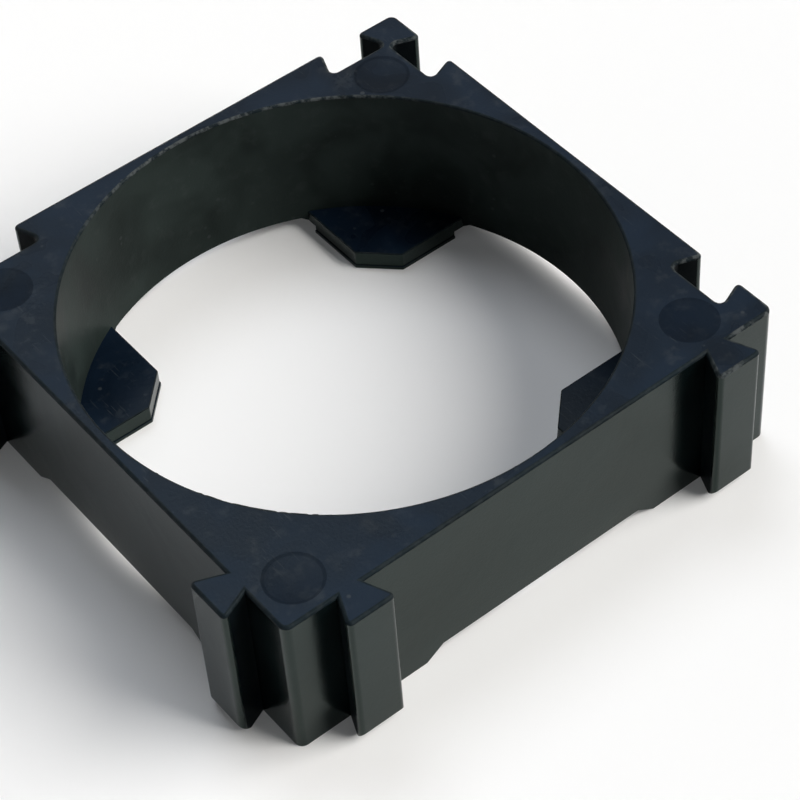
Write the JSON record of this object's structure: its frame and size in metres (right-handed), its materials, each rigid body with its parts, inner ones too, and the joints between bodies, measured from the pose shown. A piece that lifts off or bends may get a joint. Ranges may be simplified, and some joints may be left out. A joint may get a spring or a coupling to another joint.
{
  "type": "battery cell holder bracket",
  "caption": "Square moulded bracket that holds a round battery cell in a through bore, with stop lips at the foot and dovetail tabs and slots that join brackets into a pack.",
  "frame": {"origin": "middle of the foot of the whole bounding box, tabs included; the bore's axis stands 0.95 mm from it along +X and 0.95 mm along +Y", "axes": "+Z along the bore, from the lips at the foot to the open mouth; the tabs point along -X and -Y, and the slots open along +X and +Y"},
  "size_m": [0.0362, 0.0362, 0.0106],
  "materials": {
    "black_plastic": "satin, lightly scuffed"
  },
  "bodies": {
    "root": {"cell_holder_bracket": "black_plastic"}
  },
  "joints": []
}
